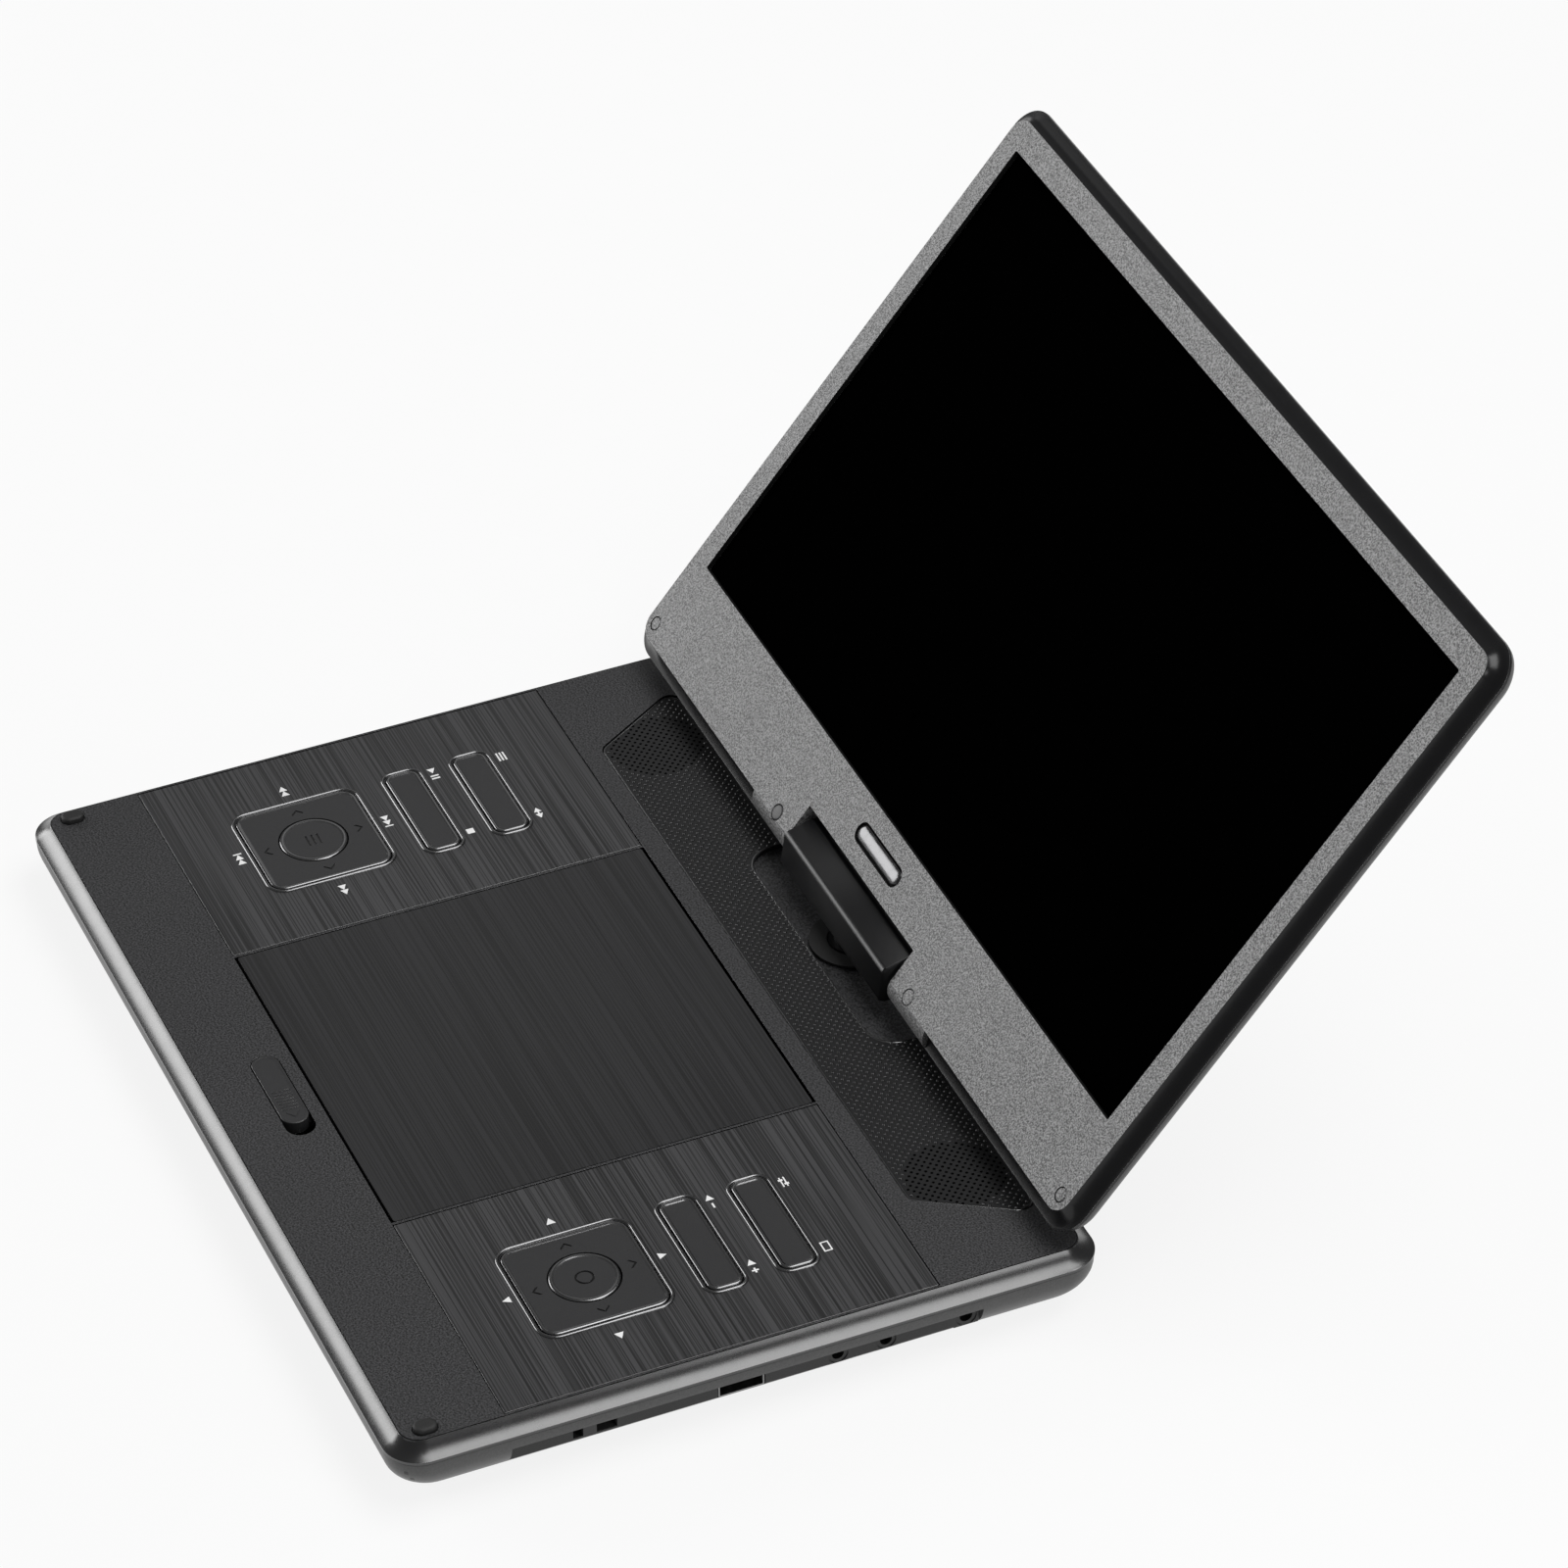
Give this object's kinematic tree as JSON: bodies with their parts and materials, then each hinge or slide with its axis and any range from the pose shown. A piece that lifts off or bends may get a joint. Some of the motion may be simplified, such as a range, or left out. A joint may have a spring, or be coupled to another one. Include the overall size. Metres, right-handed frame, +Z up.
{
  "type": "portable dvd player",
  "caption": "Clamshell portable disc player: flat base with a disc drive under a square lid, and a wide screen that tilts and swivels.",
  "frame": {"origin": "on the table, under the middle of the open player's bounding box", "axes": "+X towards the user's right, +Y from the front edge to the hinge, +Z up"},
  "size_m": [0.3024, 0.3232, 0.1831],
  "materials": {
    "case_grey": "satin moulded plastic",
    "gloss_black": "glossy black edge with a matte deck",
    "bezel_grey": "fine matte grain",
    "brushed_black": "brushed",
    "key_black": "satin",
    "matte_black": "matte",
    "hinge_black": "satin",
    "lcd_glass": "polished",
    "bright_metal": "polished",
    "steel": "plain",
    "rubber_black": "matte",
    "board_green": "solder resist",
    "battery_wrap": "shrink wrap",
    "socket_black": "moulded"
  },
  "bodies": {
    "base": {"bottom_case": "case_grey", "top_case": "gloss_black", "left_key_panel": "brushed_black", "right_key_panel": "brushed_black", "rear_grille": "matte_black", "disc_well": "matte_black", "spindle_motor": "steel", "traverse_chassis": "steel", "guide_rod_front": "steel", "guide_rod_rear": "steel", "sled_motor": "steel", "damper_left_front": "rubber_black", "damper_left_rear": "rubber_black", "damper_right_rear": "rubber_black", "main_board": "board_green", "key_board": "board_green", "battery_pack": "battery_wrap", "left_speaker": "socket_black", "right_speaker": "socket_black", "usb_port": "bright_metal", "headphone_jack": "socket_black", "av_jack": "socket_black", "dc_jack": "socket_black", "swivel_plate": "matte_black", "foot_front_left": "rubber_black", "foot_front_right": "rubber_black", "foot_rear_left": "rubber_black", "foot_rear_right": "rubber_black", "left_bumper": "rubber_black", "right_bumper": "rubber_black", "case_screw_left": "steel", "case_screw_right": "steel", "slider_spring": "steel"},
    "lid": {"disc_lid": "brushed_black"},
    "slider": {"open_slider": "matte_black"},
    "hub": {"spindle_hub": "matte_black"},
    "pickup": {"laser_pickup": "socket_black"},
    "feed": {"feed_screw": "bright_metal"},
    "left_pad": {"left_nav_pad": "key_black"},
    "right_pad": {"right_nav_pad": "key_black"},
    "left_button": {"left_nav_button": "key_black"},
    "right_button": {"right_nav_button": "key_black"},
    "left_front_rocker": {"left_rocker_front": "key_black"},
    "left_rear_rocker": {"left_rocker_rear": "key_black"},
    "right_front_rocker": {"right_rocker_front": "key_black"},
    "right_rear_rocker": {"right_rocker_rear": "key_black"},
    "switch": {"power_switch": "key_black"},
    "stand": {"swivel_shaft": "steel", "hinge_block": "hinge_black", "hinge_shaft": "steel"},
    "screen": {"screen_bezel": "bezel_grey", "screen_back_cover": "case_grey", "lcd_panel": "lcd_glass", "lcd_board": "board_green", "badge": "bright_metal", "screw_cover_left_outer": "bezel_grey", "screw_cover_left_inner": "bezel_grey", "screw_cover_right_inner": "bezel_grey", "screw_cover_right_outer": "bezel_grey"}
  },
  "joints": [
    {"name": "screen_tilt", "type": "hinge", "parent": "stand", "child": "screen", "pos_m": [0, 0.0354, 0.0308], "axis": [1, 0, 0], "range_deg": [-50, 129.8]},
    {"name": "stand_swivel", "type": "hinge", "parent": "base", "child": "stand", "pos_m": [0, 0.0354, 0.022], "axis": [0, 0, 1], "range_deg": [0, 180]},
    {"name": "disc_lid_hinge", "type": "hinge", "parent": "base", "child": "lid", "pos_m": [0, -0.0071, 0.0167], "axis": [1, 0, 0], "range_deg": [-60, 0]},
    {"name": "open_slider_slide", "type": "slide", "parent": "base", "child": "slider", "axis": [1, 0, 0], "range_m": [0, 0.0048], "stiffness_N_per_m": 150, "deforming": ["slider_spring"]},
    {"name": "disc_hub_spin", "type": "hinge", "parent": "base", "child": "hub", "pos_m": [0, -0.06635, 0.016], "axis": [0, 0, 1], "continuous": true},
    {"name": "pickup_slide", "type": "slide", "parent": "base", "child": "pickup", "axis": [1, 0, 0], "range_m": [0, 0.032]},
    {"name": "feed_screw_spin", "type": "hinge", "parent": "base", "child": "feed", "pos_m": [0.043, -0.09535, 0.0105], "axis": [1, 0, 0], "range_deg": [0, 3850]},
    {"name": "left_pad_press", "type": "slide", "parent": "base", "child": "left_pad", "axis": [0, 0, 1], "range_m": [-0.0006, 0], "stiffness_N_per_m": 800},
    {"name": "left_button_press", "type": "slide", "parent": "base", "child": "left_button", "axis": [0, 0, 1], "range_m": [-0.0006, 0], "stiffness_N_per_m": 800},
    {"name": "left_front_rocker_tilt", "type": "hinge", "parent": "base", "child": "left_front_rocker", "pos_m": [-0.10435, -0.0557, 0.018], "axis": [0, 1, 0], "range_deg": [-2, 2], "stiffness_Nm_per_rad": 0.6},
    {"name": "left_rear_rocker_tilt", "type": "hinge", "parent": "base", "child": "left_rear_rocker", "pos_m": [-0.10435, -0.0346, 0.018], "axis": [0, 1, 0], "range_deg": [-2, 2], "stiffness_Nm_per_rad": 0.6},
    {"name": "right_pad_press", "type": "slide", "parent": "base", "child": "right_pad", "axis": [0, 0, 1], "range_m": [-0.0006, 0], "stiffness_N_per_m": 800},
    {"name": "right_button_press", "type": "slide", "parent": "base", "child": "right_button", "axis": [0, 0, 1], "range_m": [-0.0006, 0], "stiffness_N_per_m": 800},
    {"name": "right_front_rocker_tilt", "type": "hinge", "parent": "base", "child": "right_front_rocker", "pos_m": [0.10435, -0.0557, 0.018], "axis": [0, 1, 0], "range_deg": [-2, 2], "stiffness_Nm_per_rad": 0.6},
    {"name": "right_rear_rocker_tilt", "type": "hinge", "parent": "base", "child": "right_rear_rocker", "pos_m": [0.10435, -0.0346, 0.018], "axis": [0, 1, 0], "range_deg": [-2, 2], "stiffness_Nm_per_rad": 0.6},
    {"name": "power_switch_slide", "type": "slide", "parent": "base", "child": "switch", "axis": [0, 1, 0], "range_m": [0, 0.004]}
  ],
  "couplings": [
    {"joint": "feed_screw_spin", "follows": "pickup_slide", "rad_per_m": 2094.4}
  ]
}
